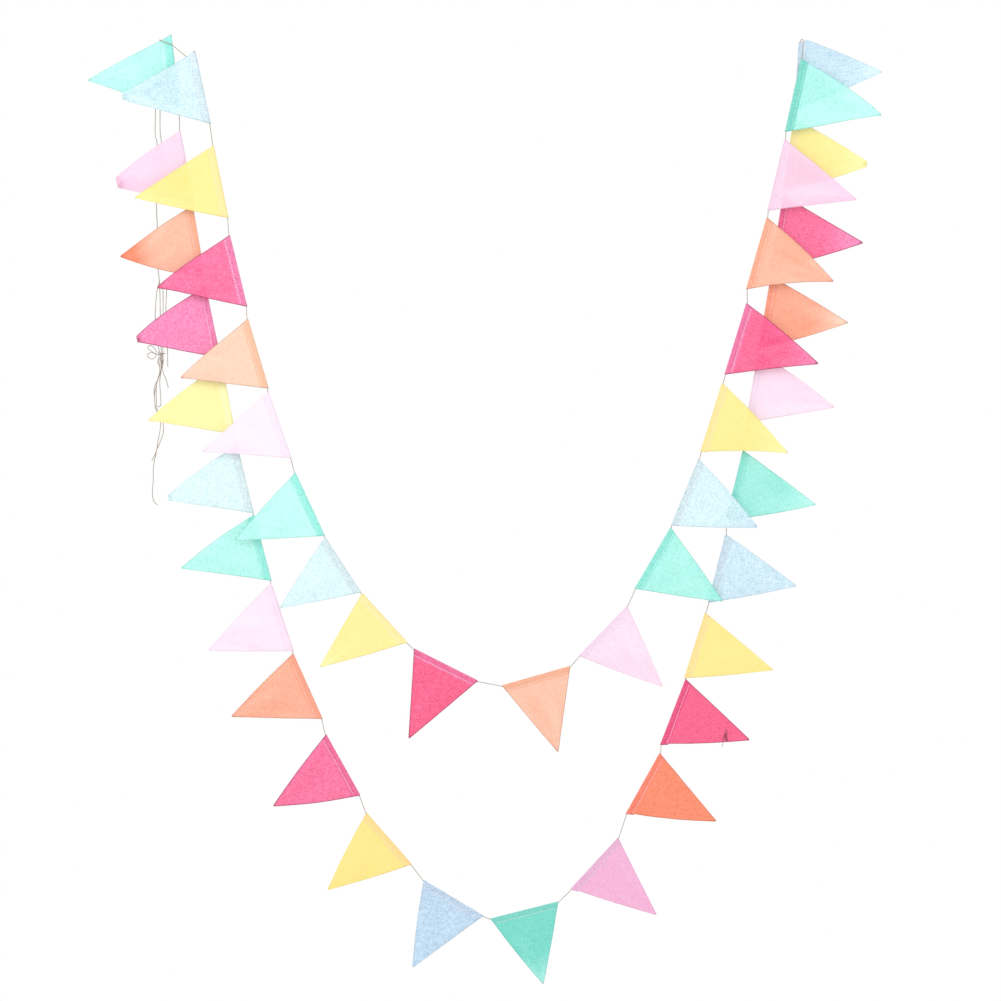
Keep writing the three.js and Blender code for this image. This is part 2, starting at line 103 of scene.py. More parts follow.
OUTER_SWAG = {
    "name": "outer",
    "start": (-1.5, 16),
    "depth": 8,
    "seed": 0,
    "rows": [
        ("mint", 0, 0, -84, 138, 168, 0, 4, 0, 5, 1.5, 2, 0, 0.93),
        ("lavender", 46, -89, -80.5, 140, 156, 10, 4, 4, 2, 2, 1, 26, 0.62),
        ("peach", 6, -105, -81, 140, 154, 5, -2, 4, 5, 1, 2, 0, 0.65),
        ("pink", 19, -86, -79, 140, 161, 6, 8, 3, 4, 2, 1, 14, 1),
        ("yellow", 14, -76, -80, 140, 161, 13, 2, 3.5, 0.5, 1, 2, 0, 1),
        ("blue", 22, -81, -77, 138, 165, 3, 2, 3, 0, 2, 1, 14, 1),
        ("mint", 4, -75, -76, 135, 165, 0, 0, 4, -0.5, 1, 2, 0, 0.83),
        ("lavender", 5, -92, -72.5, 143, 158, 19, 0, 2, 1, 2, 1, 0, 0.88),
        ("peach", 6, -96, -66.5, 143, 162, -5, 0, 2, 0.5, 1, 2, 0, 0.46),
        ("pink", 34, -77, -61.5, 140, 161, 6, 0, 2.5, 4, 2, 1, 0, 0.42),
        ("yellow", 39, -70, -49.5, 138, 160, -1, 0, 2.5, 2, 1, 1, 0, 0.08),
        ("blue", 42, -53, -31.5, 140, 163, 4, 0, 2.5, 0, 1.5, 1, 0, 0),
        ("mint", 18, -21, 14.5, 140, 155, -1, 0, 2, 1, 1, 0, 0, 0),
        ("lavender", 38, 45, 48, 141, 161, 6, 0, 1.5, 0, 1.5, 1, 0, 0),
        ("peach", 53, 72, 61.5, 140, 164, 3, 0, 3.5, 0, 1, 1, 0, 0),
        ("pink", 18, 86, 69.5, 141, 161, 1, 0, 2.5, 0.5, 2, 1, 0, 0),
        ("yellow", 4, 126, 73, 137, 161, -1, 0, 2, 0.5, 1, 2, 0, 0.2),
        ("blue", 22, 74, 76.5, 140, 160, 3, 0, 2, 1, 2, 1, 0, 0.42),
        ("mint", 28, 88, 77, 142, 163, -1, 0, 2.5, 1, 1, 2, 0, 0.48),
        ("lavender", 56, 84, 81, 140, 164, -13, 0, 0.5, 3.5, 2, 1, 0, 0.77),
        ("peach", 7, 82, 81, 142, 162, 6, 0, 3, 1.5, 1, 2, 0, 0.35),
        ("pink", 17, 90, 81, 142, 167, 5, 0, 4, 0, 2, 1, 0, 0.32),
        ("yellow", 11, 84, 83, 139, 160, -1, 0, 4, 2, 1, 2, 12, 0.41),
        ("blue", 14, 84, 87, 130, 163, 18, 0, 0, 2, 1, 1, 0, 0.33),
    ],
}

INNER_SWAG = {
    "name": "inner",
    "start": (47.5, -18.5),
    "depth": -8,
    "seed": 100,
    "rows": [
        ("blue", 0, 0, -78.5, 139, 167, -14, 3, -2, 1, 1.5, 1, 18, 0.66),
        ("yellow", 43, -83, -79, 141, 168, -2, 0, 0.5, 1, 1, 2, 0, 0.34),
        ("pink", 34, -86, -77, 141, 160, -4, 10, -1, 3.5, 2, 1, 0, 0.4),
        ("peach", 25, -86, -74, 140, 157, 3, 5, 0, 2, 1, 2, 0, 1),
        ("lavender", 7, -90, -71.5, 137, 159, 1, 0, 0, -1, 2, 1, 0, 1),
        ("mint", 31, -75, -65.5, 136, 162, 3, 0, 2, 0.5, 1, 1, 0, 1),
        ("blue", 4, -69, -57.5, 129, 149, 5, 0, 2, 1, 1.5, 1, 0, 0.91),
        ("yellow", 4, -38, -48, 132, 159, -13, 0, 0.5, 1.5, 1, 1, 0, 0.5),
        ("pink", 20, -43, -27, 141, 163, 1, 0, 0, 0.5, 1.5, 1, 0, 0),
        ("peach", 51, -11, 16, 140, 157, 0, 0, 0.5, 0, 1, 0, 0, 0.73),
        ("lavender", 29, 49, 46.5, 137, 160, 1, 0, 2, 1, 1.5, 1, 0, 0.74),
        ("mint", 39, 66, 60, 139, 161, -5, 0, 1.5, 1, 1, 1, 0, 0.67),
        ("blue", 5, 77, 68, 141, 157, -10, 0, 1.5, 3, 2, 1, 0, 0.79),
        ("yellow", 15, 75, 73, 141, 162, -22, 0, -4, 3, 1, 2, 0, 0.32),
        ("pink", 18, 74, 73.5, 144, 167, 0, 0, -1.5, 3, 2, 1, 0, 0.17),
        ("peach", 28, 91, 74.5, 143, 157, -12, 0, -5, 5, 1, 2, 0, 0.6),
        ("lavender", 14, 85, 77, 140, 161, -11, 0, -1, 1, 2, 1, 0, 0.56),
        ("mint", 15, 87, 78, 141, 173, -1, -8, 3, 2, 1.5, 1, 0, 0.87),
    ],
}

# The flags whose first side starts a little inside the end of the hem, and by how much
INSETS = {"outer_14_lavender": 2.5, "outer_15_peach": 2, "outer_16_pink": 2.5}

# The flag whose cloth fans out past the bunched end of its hem, at the right point
FANNED = {"name": "outer_24_blue", "past": 11.0, "drop": 14.0}

# The hems that painted light makes paler than the rest of their flag, or painted shade deeper, and by how
# much
HEM_PAINTED_LIGHT = {"inner_03_pink": 0.5, "inner_09_pink": 0.5, "inner_15_pink": 0.5, "inner_18_mint": -0.8}

# The flags whose tips painted light makes paler than above them, or painted shade deeper, and by how much
TIP_PAINTED_LIGHT = {
    "outer_02_lavender": -0.2, "outer_03_peach": -0.9, "outer_13_mint": 0.5, "outer_19_mint": 0.4,
    "outer_21_peach": 0.6, "outer_22_pink": 1.0, "outer_23_yellow": 0.8, "outer_24_blue": 0.5,
    "inner_01_blue": 0.2, "inner_02_yellow": 0.2, "inner_08_yellow": 0.4, "inner_13_blue": -0.3,
    "inner_14_yellow": 0.5, "inner_15_pink": 0.6, "inner_18_mint": 0.3,
}

# The points that the main twine goes through outside the hems, and the knot at the left point
LEFT_TURN = [
    (-2, 14.4, 3), (-2, 14.4, 9), (-1.9, 13.6, 14.8), (-1.7, 11.2, 17.8), (-1.5, 8.4, 17.6),
]
RIGHT_TURN = [
    (1219.4, 7.4, 4), (1220.6, 4.4, 6.6), (1221.8, 0, 7.2),
    (1222.4, -4.6, 6), (1222.5, -7.6, 1), (1222.1, -8, -10),
]
KNOT_RETURN = [
    (47.2, -7.5, -16.8), (46.4, -5.4, -16), (45, -3.8, -18), (41.8, -3.6, -22.6),
    (38.4, -3.6, -27.2), (36.2, -3.6, -29.4), (33.6, -3.5, -28.6), (18, -0.4, -16.2),
    (7, 1.4, -6.6), (1, 2.4, -1.8), (-8, 3.2, 1.2), (-18.4, 4.8, 5), (-21.6, 5.8, 7.2),
    (-22.6, 7.6, 8), (-22, 9.8, 6.6), (-19, 11.2, 4.2), (-13, 11.8, 0.8), (-8, 12.4, -2.4),
    (-4, 13.4, -2.6), (0, 14.4, -2),
]
KNOT = {"centre": (-2, 14.4, -1), "half": (3.8, 2.6, 6.2)}

# The loose ends of the twine
TAIL_LONG = [
    (-7.6, 14.4, 0), (-12, 14.2, 1.5), (-17, 14, 0), (-22, 13.8, -6),
    (-27, 13.7, -20), (-31, 13.8, -50), (-34, 13.8, -129), (-35, 13.8, -173), (-32, 13.8, -189),
    (-35, 13.8, -222), (-35, 13.6, -305), (-34, 13.6, -349), (-34, 13.6, -431), (-32, 13.6, -456),
    (-37, 13.6, -478), (-41, 13.8, -529), (-39, 14, -562), (-35, 14.2, -588), (-32.5, 14.2, -600),
    (-31.5, 13.8, -612), (-31, 13.6, -627), (-35, 13.6, -643), (-45, 13.6, -666),
    (-45, 13.6, -686), (-43, 13.8, -706), (-34, 14, -735), (-35, 14, -749), (-39, 14, -769),
    (-42, 14, -787), (-46, 14, -805), (-49, 13.8, -820), (-50, 13.6, -848), (-52, 13.4, -878),
    (-49, 13.4, -891), (-42, 13.2, -898),
]
TAIL_LOOPED = [
    (-6.9, 14.4, 4.5), (-10.5, 14.9, 7.2), (-15.6, 15.8, 8.8), (-19.6, 16.8, 5.6), (-22, 17.5, -4),
    (-23, 17.6, -50), (-26, 18, -129), (-26, 18, -173), (-24, 18, -189), (-28, 18.2, -240),
    (-35.6, 18.4, -300), (-35, 18.4, -357), (-34.8, 18.6, -431), (-32.7, 18.8, -456),
    (-32, 18.8, -478), (-32, 19, -529), (-32, 19, -582), (-30.5, 18.8, -600), (-32, 19.2, -631),
    (-35, 19.2, -652), (-34, 19.2, -680), (-33.4, 18.9, -692), (-33.6, 18.7, -698.6),
    (-35.1, 18.3, -702), (-37.8, 17.9, -703.4), (-40.5, 17.5, -702), (-41.9, 17.2, -698.6),
    (-42, 16.9, -688), (-42, 16.6, -670), (-39, 16.4, -650), (-34, 16.4, -635),
    (-27.6, 16.4, -619), (-27.3, 16, -600), (-27, 16, -562), (-26, 15.4, -529), (-25, 15, -484),
    (-25.1, 14.7, -464.6), (-24.1, 14.6, -462), (-21.6, 14.6, -460.8), (-19.1, 14.6, -462),
    (-18.1, 14.6, -464.6), (-18.6, 14.6, -484), (-20, 14.6, -515), (-18, 14.6, -582),
    (-18, 14.6, -625),
]

# The tie: its turns round the loose ends, in X and Y, with their angles and heights, the bow and the
# long end that come after them, and the short end
WINDING = {
    "middle": (-30.0, 16.3), "half": (6.6, 5.6), "turn": (60.0, 480.0), "height": (-600.6, -597.6),
    "degrees_apart": 30,
}
TIE_AFTER_WINDING = [
    (-39, 10.4, -593.5), (-44, 9.8, -586.5), (-49.4, 9.5, -582.6), (-53, 9.6, -583),
    (-55.4, 9.8, -585.8), (-54.8, 10.2, -589.4), (-51.4, 10.6, -592), (-44.5, 11.2, -597),
    (-39.8, 11.2, -602), (-42.5, 10.6, -606.8), (-48.5, 10, -609), (-54.5, 9.6, -606),
    (-56.5, 9, -601), (-51, 8.4, -597), (-43, 8, -597.3), (-37, 7.8, -599.4), (-33.4, 7.7, -604),
    (-36, 7.8, -612), (-35.9, 8, -617.4), (-34.3, 8.2, -620.6), (-31.6, 8.4, -621.6),
    (-29, 8.7, -620), (-27.6, 9, -616.4), (-27.6, 9.6, -612), (-28.8, 10.2, -608.8),
    (-31.4, 10.8, -607.6), (-33.8, 11.1, -609.4), (-34.6, 11.2, -613), (-33.8, 11.2, -620),
    (-33, 11, -630), (-34.4, 11, -640), (-40, 11, -660), (-44, 11, -678), (-43, 11, -700),
    (-34, 11.2, -719), (-28, 11.4, -739), (-28, 11.4, -753), (-34, 11.2, -771), (-41, 11, -787),
    (-46, 11, -799), (-52, 11, -811),
]
TIE_SHORT = [
    (-27.6, 11.2, -601.9), (-26.6, 12.4, -611), (-28, 12.8, -622), (-27, 12.8, -635),
    (-21, 12.8, -650), (-17, 12.6, -666),
]

# A loose sewing thread that clings to the long side of one flag, in a narrow double loop: how far
# along the hem (0 to 1), how far down the cloth, and how far in front
STRAY_FLAG = "outer_16_pink"
STRAY_RADIUS = 0.45
STRAY_PITCH = 3.0
STRAY_THREAD = [
    (-0.27, 115.8, 1.3), (-0.12, 114.6, 1.5), (0.08, 112.6, 1.6), (0.26, 111.2, 1.7),
    (0.44, 110.2, 1.7), (0.58, 109.8, 1.7), (0.56, 112.4, 1.7), (0.38, 115.2, 1.7),
    (0.20, 118.4, 1.7), (0.08, 121.6, 1.7), (0.12, 118.6, 2.3), (0.28, 114.6, 2.4),
    (0.46, 112.2, 2.4), (0.30, 113.2, 2.4), (0.14, 116.0, 2.4), (0.10, 119.2, 2.4),
]


def linear(hex_colour):
    """An sRGB hex colour as linear red, green and blue."""
    values = np.array([int(hex_colour[i:i + 2], 16) for i in (1, 3, 5)]) / 255
    curved = ((values + 0.055) / 1.055) ** 2.4
    return tuple(float(v) for v in np.where(values <= 0.04045, values / 12.92, curved))


def length(name, description, default, least, most):
    """A length setting of the bunting, in metres."""
    return FloatProperty(
        name=name, description=description, default=default, min=least, max=most, unit="LENGTH",
    )


class BuntingSizes(PropertyGroup):
    """Sizes of the twine, the cloth and the stitching."""

    twine_radius: length("Twine radius", "Radius of the jute twine", 0.00082, 0.0005, 0.003)
    ply_pitch: length("Ply pitch", "Twine in which each ply goes round once", 0.009, 0.003, 0.03)
    cloth_thickness: length("Cloth thickness", "One layer of the cloth", 0.0006, 0.0002, 0.001)
    seam_distance: length("Seam distance", "From the twine to the stitches", 0.0093, 0.006, 0.013)
    stitch_pitch: length("Stitch pitch", "From one stitch to the next", 0.0034, 0.0015, 0.006)
    flag_columns: IntProperty(
        name="Flag columns", description="Faces along the hem of a flag", default=36, min=8, max=96,
    )


# The colours of each cloth, in the order of its dyed parts. The washed-out ones are painted light: the
# cloth as strong light pales it
DYED_PARTS = {
    "fresh": "cloth, fresh", "washed_out": "cloth, faded", "hem_fresh": "hem, fresh", "hem_washed_out": "hem, faded",
}
DYES = {
    "mint": ("#5edccb", "#bffff6", "#83e8d9", "#a5fff3"),
    "lavender": ("#eda9d1", "#f9e7f4", "#f2bcde", "#ffefff"),
    "peach": ("#f48157", "#f4cfb5", "#fd8469", "#f9c6a3"),
    "pink": ("#ff508b", "#ff89c3", "#fb4e90", "#ff8fc9"),
    "yellow": ("#f5e07e", "#f5eea3", "#ffe091", "#ffffbe"),
    "blue": ("#bcdcf3", "#e2ffff", "#d3eaff", "#eaffff"),
}


def dye(name, hex_colour):
    """A colour setting of the bunting."""
    return FloatVectorProperty(
        name=name, description=f"Colour of the {name.lower()}",
        default=linear(hex_colour), min=0, max=1, size=3, subtype="COLOR",
    )


class BuntingColours(PropertyGroup):
    """Dyes of the cloths, fresh and washed out by painted light, of their hems, and of the twine and
    thread.
    """

    __annotations__ = {
        f"{cloth}_{part}": dye(f"{cloth.capitalize()} {label}", colour)
        for cloth, shades in DYES.items()
        for (part, label), colour in zip(DYED_PARTS.items(), shades)
    }
    twine: dye("Jute twine", "#a8998a")
    thread: dye("Sewing thread", "#fdfbf8")
    stray: dye("Stray thread", "#74324f")


# ---------------- meshes

def new_object(name, points, faces, material, smooth=True):
    """A mesh object at the origin from points in millimetres and a list of face tables."""
    corners = [face for table in faces for face in np.asarray(table).tolist()]
    mesh = bpy.data.meshes.new(name)
    mesh.from_pydata((np.asarray(points) * MM).tolist(), [], corners)
    mesh.polygons.foreach_set("use_smooth", np.full(len(mesh.polygons), smooth))
    mesh.materials.append(material)
    mesh.update()
    piece = bpy.data.objects.new(name, mesh)
    bpy.context.scene.collection.objects.link(piece)
    return piece


def add_values(mesh, name, values):
    """A number for each point of a mesh, which its material reads by name."""
    table = mesh.attributes.new(name, "FLOAT", "POINT")
    table.data.foreach_set("value", np.asarray(values, dtype=np.float32).ravel())


def finish_piece(piece, slot, *nodes):
    """Hangs a piece on the one body and hides the solids that it stands for. Its finish, slot, is not
    used.
    """
    if nodes:
        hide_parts(*nodes)
    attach(piece, "root")


def grid_faces(rows, columns, closed=False):
    """Four-sided faces between neighbouring points of a grid, joined round if closed."""
    row = np.arange(rows - 1)[:, None]
    column = np.arange(columns if closed else columns - 1)[None, :]
    after = (column + 1) % columns
    corners = [row * columns + column, row * columns + after,
               (row + 1) * columns + after, (row + 1) * columns + column]
    return np.stack(corners, axis=-1).reshape(-1, 4)


def direction(degrees):
    """A direction in the X-Z plane, from its angle above +X."""
    angle = math.radians(degrees)
    return np.array([math.cos(angle), 0.0, math.sin(angle)])


def wander(random, count, every, size):
    """Seeded values that drift: one drawn for every few places, with straight lines between."""
    marks = np.arange(0, count + every, every)
    return np.interp(np.arange(count), marks, random.normal(0, size, len(marks)))


# ---------------- flags

def place_flags(swag):
    """Walks along the twine and gives every flag of a swag its first and last hem points."""
    point = np.array([swag["start"][0], swag["depth"], swag["start"][1]], float)
    flags = []
    for number, row in enumerate(swag["rows"], 1):
        flag = dict(zip(COLUMNS, row))
        flag["name"] = f"{swag['name']}_{number:02d}_{flag['cloth']}"
        point = point + flag["space"] * direction(flag["heading"])
        flag["first"] = point
        point = point + flag["hem"] * direction(flag["slope"])
        flag["last"] = point
        flag["seed"] = number + swag["seed"]
        flags.append(flag)
    return flags


def ripple(flag, span, share):
    """Soft creases of hung cloth: three slow waves of seeded direction and phase. They start a little
    below the twine, grow in a straight line until half way down and fall again toward the tip."""
    random = np.random.default_rng(flag["seed"])
    height = np.zeros_like(span)
    for size, waves in CREASES:
        across, down, phase = random.uniform(-1, 1, 3)
        run = span * (0.7 + 0.3 * across) + share * down
        height += size * np.sin(2 * np.pi * waves * run + 6 * phase)
    return height * np.clip((share - 0.06) * 2.4, 0, 1) * (1 - 0.5 * share)


def roll_up(flag, drop, forward):
    """How far down and forward a point lies once the tip of its flag is rolled up: from the start of
    the roll the cloth follows a circle, and a point off the cloth keeps its distance from it."""
    flat = flag["length"] - abs(flag["roll"])
    radius = abs(flag["roll"]) / math.radians(ROLL_TURN)
    side = math.copysign(1, flag["roll"])
    turn = np.clip(drop - flat, 0, None) / radius
    reach = radius - side * (forward - FRONT)
    down = np.where(drop > flat, flat + reach * np.sin(turn), drop)
    return down, np.where(drop > flat, FRONT + side * (radius - reach * np.cos(turn)), forward)


def lay_on_flag(flag, span, drop, forward):
    """Points on a flag. span runs from 0 to 1 along the hem, drop is the distance down the cloth from
    the twine and forward the distance in front of it. The width falls in a straight line from the hem
    to the tip, and each side bows outward by a sine. The middle line leans by lean, of which hook
    grows with the fourth power of the share of the length. The sheet stands forward by a sine over
    its length and a parabola over its width, and its tip by a square."""
    share = np.clip(drop / flag["length"], 0, 1)
    half_width = flag["hem"] / 2 + (TIP_HALF_WIDTH - flag["hem"] / 2) * share
    middle = flag["hem"] / 2 + (flag["lean"] - flag["hook"]) * share + flag["hook"] * share ** 4
    past = FANNED["past"] if flag["name"] == FANNED["name"] else 0.0
    fan = past * span * (1 - share) * np.clip(drop / FANNED["drop"], 0, 1)
    bows = flag["last_bow"] * span - flag["first_bow"] * (1 - span)
    inset = INSETS.get(flag["name"], 0) * (1 - span) * (1 - share)
    cut_in = np.where(drop > ALLOWANCE + STEP / 2, inset, 0)
    across = middle + half_width * (2 * span - 1) + fan + bows * np.sin(np.pi * share) + cut_in
    belly = flag["bow"] * 4 * span * (1 - span) * np.sin(np.pi * share)
    forward = forward + SWELL * 4 * share * (1 - share)
    fall, forward = roll_up(flag, drop, forward) if flag["roll"] else (drop, forward)
    forward = forward + belly + flag["tilt"] * share ** 2 + ripple(flag, span, share)
    points = flag["first"] + across[..., None] * direction(flag["slope"])
    points = points + fall[..., None] * direction(flag["slope"] - 90)
    points[..., 1] -= forward
    return points


def cloth_line(flag):
    """The line of the cloth in a flag's cross-section, from the raw edge at the back, over the twine
    and down the front to the tip: drop and forward of each row, and the distance along the cloth.
    The layers part from the seam to the fold by a smooth step, and the fold is half a circle with a
    point at every 30 degrees."""
    opening = np.array(HEM_ROWS)
    part = np.clip(1 - opening / SEAM, 0, 1)
    rise = (3 * part ** 2 - 2 * part ** 3) ** 0.8
    spread = LAYER_OFFSET + (FOLD_RADIUS - LAYER_OFFSET) * rise
    angle = np.radians(np.arange(150, 0, -30))
    body = np.arange(ALLOWANCE + 7, flag["length"] - 2, BODY_ROW)
    sheet = np.concatenate([[ALLOWANCE + STEP, ALLOWANCE + 3], body])
    if flag["roll"]:
        flat = flag["length"] - abs(flag["roll"])
        rolled = np.arange(flat, flag["length"] - 1, ROLL_ROW)
        sheet = np.concatenate([sheet[sheet < flat - 1], rolled])
    sheet = np.append(sheet, flag["length"])
    front = np.full(len(sheet), FRONT)
    drop = np.concatenate([opening, -FOLD_RADIUS * np.sin(angle), opening[::-1], sheet])
    forward = np.concatenate([-spread, FOLD_RADIUS * np.cos(angle), spread[::-1], front])
    along = np.concatenate([[0], np.cumsum(np.hypot(np.diff(drop), np.diff(forward)))])
    return drop, forward, along - along[len(opening) + 2]


def seam_line(flag, sizes, span):
    """How far down the cloth the seam lies along a hem: its set distance and a slow wander."""
    random = np.random.default_rng(flag["seed"] + SEAM_SEED)
    phase, waves, size = random.uniform(0, 6.3), random.uniform(0.4, 1.1), random.uniform(0.3, 0.9)
    return sizes.seam_distance / MM + size * np.sin(2 * np.pi * waves * span + phase)


def keep_cloth_values(mesh, flag, span, drop, along):
    """What the cotton reads from the mesh: its place on the flat cloth in centimetres, and for each
    point its drop, its distance from the nearer side, its painted light and the flag's own shift of the
    weave. The painted light pales the cloth as strong light would. Past half way it changes with the
    power 1.5 of the distance, and it is a little stronger where a crease stands forward, as a painted
    highlight."""
    share = np.clip(drop / flag["length"], 0, 1)
    across = (span - 0.5) * flag["hem"] * (1 - 0.98 * share)
    uv = np.stack([across, along], axis=-1).reshape(-1, 2) / 10
    corner = np.empty(len(mesh.loops), dtype=np.int64)
    mesh.loops.foreach_get("vertex_index", corner)
    mesh.uv_layers.new(name="cloth").data.foreach_set("uv", uv[corner].ravel())
    hem_painted_light = HEM_PAINTED_LIGHT.get(flag["name"], 0) * (drop <= ALLOWANCE)
    outer_half = np.clip((share - 0.5) / 0.4, 0, 1.2) ** 1.5
    tip_painted_light = TIP_PAINTED_LIGHT.get(flag["name"], 0) * outer_half
    # painted light: each flag's paleness, that of its hem and tip, and paler creases where they stand
    # forward
    painted_light = flag["fade"] + hem_painted_light + tip_painted_light + 0.12 * ripple(flag, span, share)
    add_values(mesh, "drop", drop)
    add_values(mesh, "edge", (1 - np.abs(2 * span - 1)) * flag["hem"] / 2 * (1 - share))
    add_values(mesh, "painted_light", np.clip(painted_light, 0, 1))
    add_values(mesh, "shift", np.full(span.shape, (flag["seed"] * 7.31) % 10))


def make_flag(flag, sizes, material):
    """One flag as a single sheet, turned over at the top, given its thickness by Solidify."""
    drop, forward, along = cloth_line(flag)
    rows, columns = len(drop), sizes.flag_columns + 1
    span = np.tile(np.linspace(0, 1, columns), (rows, 1))
    drop, forward, along = (np.repeat(line[:, None], columns, axis=1) for line in (drop, forward, along))
    # the cut sides wander by a few tenths of a millimetre
    edge = wander(np.random.default_rng(flag["seed"] + SIDE_SEED), rows, 4, 0.003)
    uneven = span + edge[:, None] * (span - 0.5) * np.clip(drop / 40, 0, 1)
    points = lay_on_flag(flag, uneven, drop, forward)
    faces = grid_faces(rows, columns)
    piece = new_object(flag["name"] + "_cloth", points.reshape(-1, 3), [faces], material)
    keep_cloth_values(piece.data, flag, span, drop, along)
    add_values(piece.data, "seam", seam_line(flag, sizes, span))
    solid = piece.modifiers.new("thickness", "SOLIDIFY")
    solid.thickness = sizes.cloth_thickness
    solid.offset = 0
    solid.use_even_offset = False
    finish_piece(piece, f"cloth_{flag['cloth']}", flag["name"])


def stitch_row(flag, sizes, side):
    """A row of stitches on one face of a hem: each is a spindle along the seam, made of rings that
    are widest at the middle, and it sinks into the cloth at both ends."""
    pitch = sizes.stitch_pitch / MM
    count = int((flag["hem"] - 2 * BARE_END) / pitch)
    centre = (BARE_END + (np.arange(count) + 0.5) * pitch) / flag["hem"]
    run = np.array(STITCH_RUN) * pitch * STITCH_SHARE / flag["hem"]
    girth = np.array(STITCH_GIRTH)[:, None]
    rise = np.array(STITCH_RISE)[:, None]
    angle = np.linspace(0, 2 * np.pi, STITCH_SIDES, endpoint=False)
    span = centre[:, None, None] + run[None, :, None] + 0 * angle
    surface = LAYER_OFFSET + sizes.cloth_thickness / MM / 2
    drop = seam_line(flag, sizes, span) + girth * np.cos(angle)
    forward = side * (surface + rise) + 0.7 * girth * np.sin(angle) + 0 * span
    points = lay_on_flag(flag, span, drop, forward).reshape(-1, 3)
    start = (np.arange(count) * len(run) * STITCH_SIDES)[:, None, None]
    faces = grid_faces(len(run), STITCH_SIDES, closed=True)[None] + start
    return points, faces.reshape(-1, 4)


# ---------------- twine

def between(a, b, t, start, end):
    """The point that goes from a to b in a straight line while t goes from start to end."""
    return a + (b - a) * (t - start) / (end - start)


def smooth_route(points, step):
    """A centripetal Catmull-Rom curve through the points, sampled at an even step along it."""
    points = np.asarray(points, float)
    ends = np.vstack([2 * points[0] - points[1], points, 2 * points[-1] - points[-2]])
    pieces = []
    for index in range(len(points) - 1):
        a, b, c, d = ends[index:index + 4]
        at_a, at_b, at_c, at_d = np.cumsum(
            [0, *(np.sqrt(np.linalg.norm(gap)) for gap in (b - a, c - b, d - c))]
        )
        t = np.linspace(at_b, at_c, 24, endpoint=False)[:, None]
        ab = between(a, b, t, at_a, at_b)
        bc = between(b, c, t, at_b, at_c)
        cd = between(c, d, t, at_c, at_d)
        abc = between(ab, bc, t, at_a, at_c)
        bcd = between(bc, cd, t, at_b, at_d)
        pieces.append(between(abc, bcd, t, at_b, at_c))
    return even_route(np.vstack([*pieces, points[-1:]]), step)


def even_route(points, step):
    """The same line with points at an even step along it."""
    points = np.asarray(points, float)
    along = np.concatenate([[0], np.cumsum(np.linalg.norm(np.diff(points, axis=0), axis=1))])
    marks = np.linspace(0, along[-1], max(int(round(along[-1] / step)), 2) + 1)
    return np.stack([np.interp(marks, along, points[:, axis]) for axis in range(3)], axis=1)


def twine_frames(route):
    """Two directions square to a route at each point, from its cross product with one fixed
    direction. Where it runs nearly that way, they go straight from those before to those after."""
    tangent = np.gradient(route, axis=0)
    tangent /= np.linalg.norm(tangent, axis=1)[:, None]
    side = np.cross(tangent, [0.05, 1.0, 0.02])
    side[np.linalg.norm(side, axis=1) < 0.3] = np.nan
    for axis in range(3):
        good = ~np.isnan(side[:, axis])
        side[:, axis] = np.interp(np.arange(len(side)), np.flatnonzero(good), side[good, axis])
    side -= tangent * np.sum(side * tangent, axis=1)[:, None]
    side /= np.linalg.norm(side, axis=1)[:, None]
    return side, np.cross(tangent, side)


def make_twine(name, route, radius, pitch, material):
    """A twine of three plies laid round each other: a tube whose radius swells three times round it,
    with the swell turning once in each pitch along the route, and with seeded slubs. Its run along
    the twine and its place between the plies are kept for the jute."""
    side, other = twine_frames(route)
    rows = len(route)
    along = np.arange(rows) * np.linalg.norm(route[1] - route[0])
    angle = np.linspace(0, 2 * np.pi, TWINE_SIDES, endpoint=False)
    swell = np.cos(3 * (angle[None, :] - 2 * np.pi * along[:, None] / pitch))
    slub = 1 + wander(np.random.default_rng(rows), rows, 5, SLUB).clip(-MOST_SLUB, MOST_SLUB)
    reach = radius * (1 - PLY_SWELL + PLY_SWELL * swell) * slub[:, None]
    reach[[0, -1]] *= CUT_END
    ring = np.cos(angle)[None, :, None] * side[:, None] + np.sin(angle)[None, :, None] * other[:, None]
    points = (route[:, None] + reach[..., None] * ring).reshape(-1, 3)
    first, last = len(points), len(points) + 1
    around = np.arange(TWINE_SIDES)
    after = (around + 1) % TWINE_SIDES
    base = (rows - 1) * TWINE_SIDES
    caps = [np.stack([np.full(TWINE_SIDES, first), after, around], 1),
            np.stack([np.full(TWINE_SIDES, last), base + around, base + after], 1)]
    points = np.vstack([points, route[:1], route[-1:]])
    piece = new_object(name, points, [grid_faces(rows, TWINE_SIDES, closed=True), *caps], material)
    add_values(piece.data, "run", np.append(np.repeat(along, TWINE_SIDES), [0, along[-1]]))
    add_values(piece.data, "ply", np.append(swell.ravel(), [0, 0]))
    return piece


def make_loose_cord(name, route, radius, pitch, material):
    """A twine that hangs free from its first point, with a bare end."""
    piece = make_twine(name, route, radius, pitch, material)
    return piece


def hem_mouths(flag):
    """Where the twine goes into and comes out of a hem, a little past its two ends."""
    past = HEM_MOUTH * direction(flag["slope"])
    return [flag["first"] - past, flag["last"] + past]


def winding_points():
    """The tie's turns round the loose ends: an ellipse that rises evenly as it goes round."""
    first, last = WINDING["turn"]
    turn = np.radians(np.arange(first, last + 1, WINDING["degrees_apart"]))
    height = np.linspace(*WINDING["height"], len(turn))
    across = WINDING["middle"][0] + WINDING["half"][0] * np.cos(turn)
    depth = WINDING["middle"][1] - WINDING["half"][1] * np.sin(turn)
    return np.stack([across, depth, height], axis=1).tolist()


